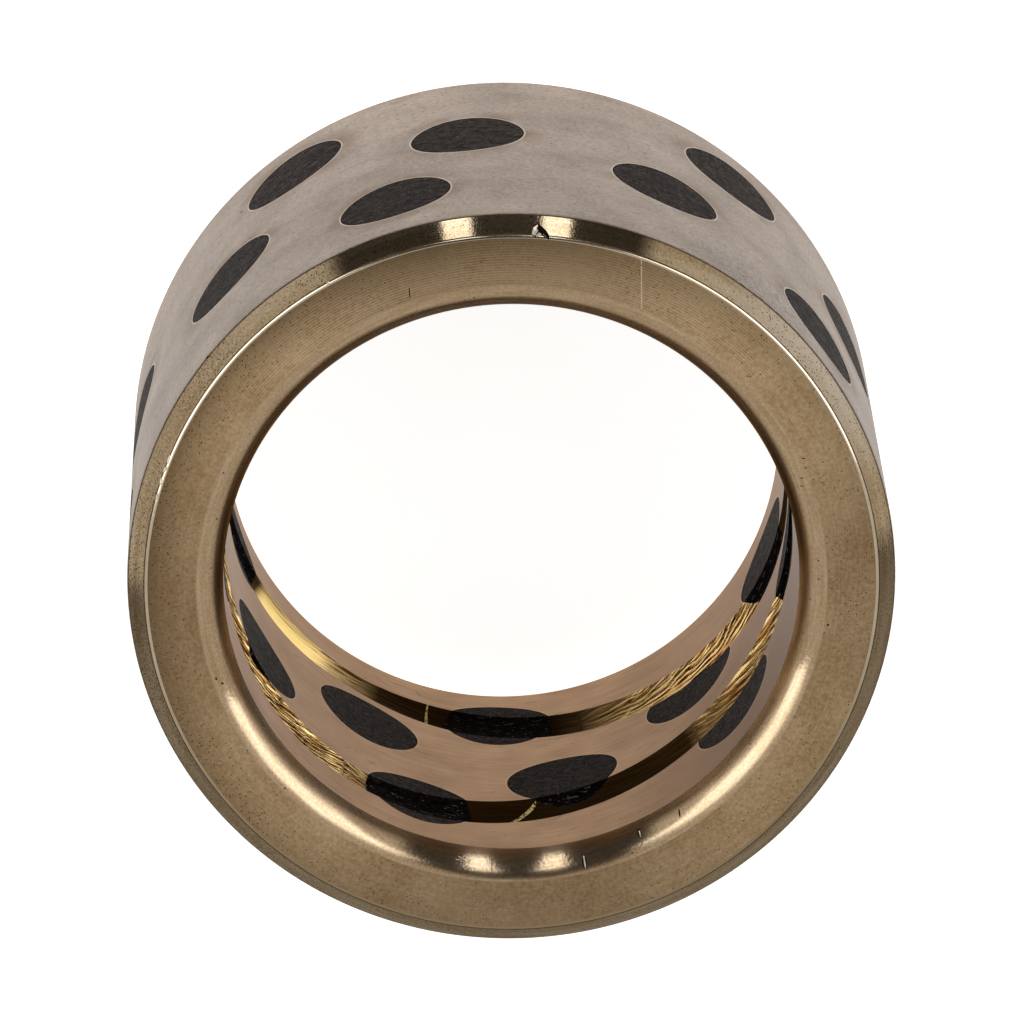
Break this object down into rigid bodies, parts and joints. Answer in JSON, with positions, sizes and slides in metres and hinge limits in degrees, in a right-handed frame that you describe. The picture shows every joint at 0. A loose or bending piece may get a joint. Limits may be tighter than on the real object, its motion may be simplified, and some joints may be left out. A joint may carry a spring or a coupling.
{
  "type": "bushing",
  "caption": "Plain bearing bushing: a bronze sleeve with round graphite plugs through its wall and a figure-eight oil groove in the bore.",
  "frame": {"origin": "on the bushing's axis, at the bottom end face", "axes": "+Z along the bushing's axis, towards the end face that the picture shows; +Y away from the picture's viewer"},
  "size_m": [0.08, 0.08, 0.052],
  "materials": {
    "bronze": "satin",
    "graphite": "matte"
  },
  "bodies": {
    "root": {"sleeve": "bronze", "plug_row1_1": "graphite", "plug_row1_2": "graphite", "plug_row1_3": "graphite", "plug_row1_4": "graphite", "plug_row1_5": "graphite", "plug_row2_1": "graphite", "plug_row2_2": "graphite", "plug_row2_3": "graphite", "plug_row2_4": "graphite", "plug_row2_5": "graphite", "plug_row3_1": "graphite", "plug_row3_2": "graphite", "plug_row3_3": "graphite", "plug_row3_4": "graphite", "plug_row3_5": "graphite", "plug_row4_1": "graphite", "plug_row4_2": "graphite", "plug_row4_3": "graphite", "plug_row4_4": "graphite", "plug_row4_5": "graphite"}
  },
  "joints": []
}
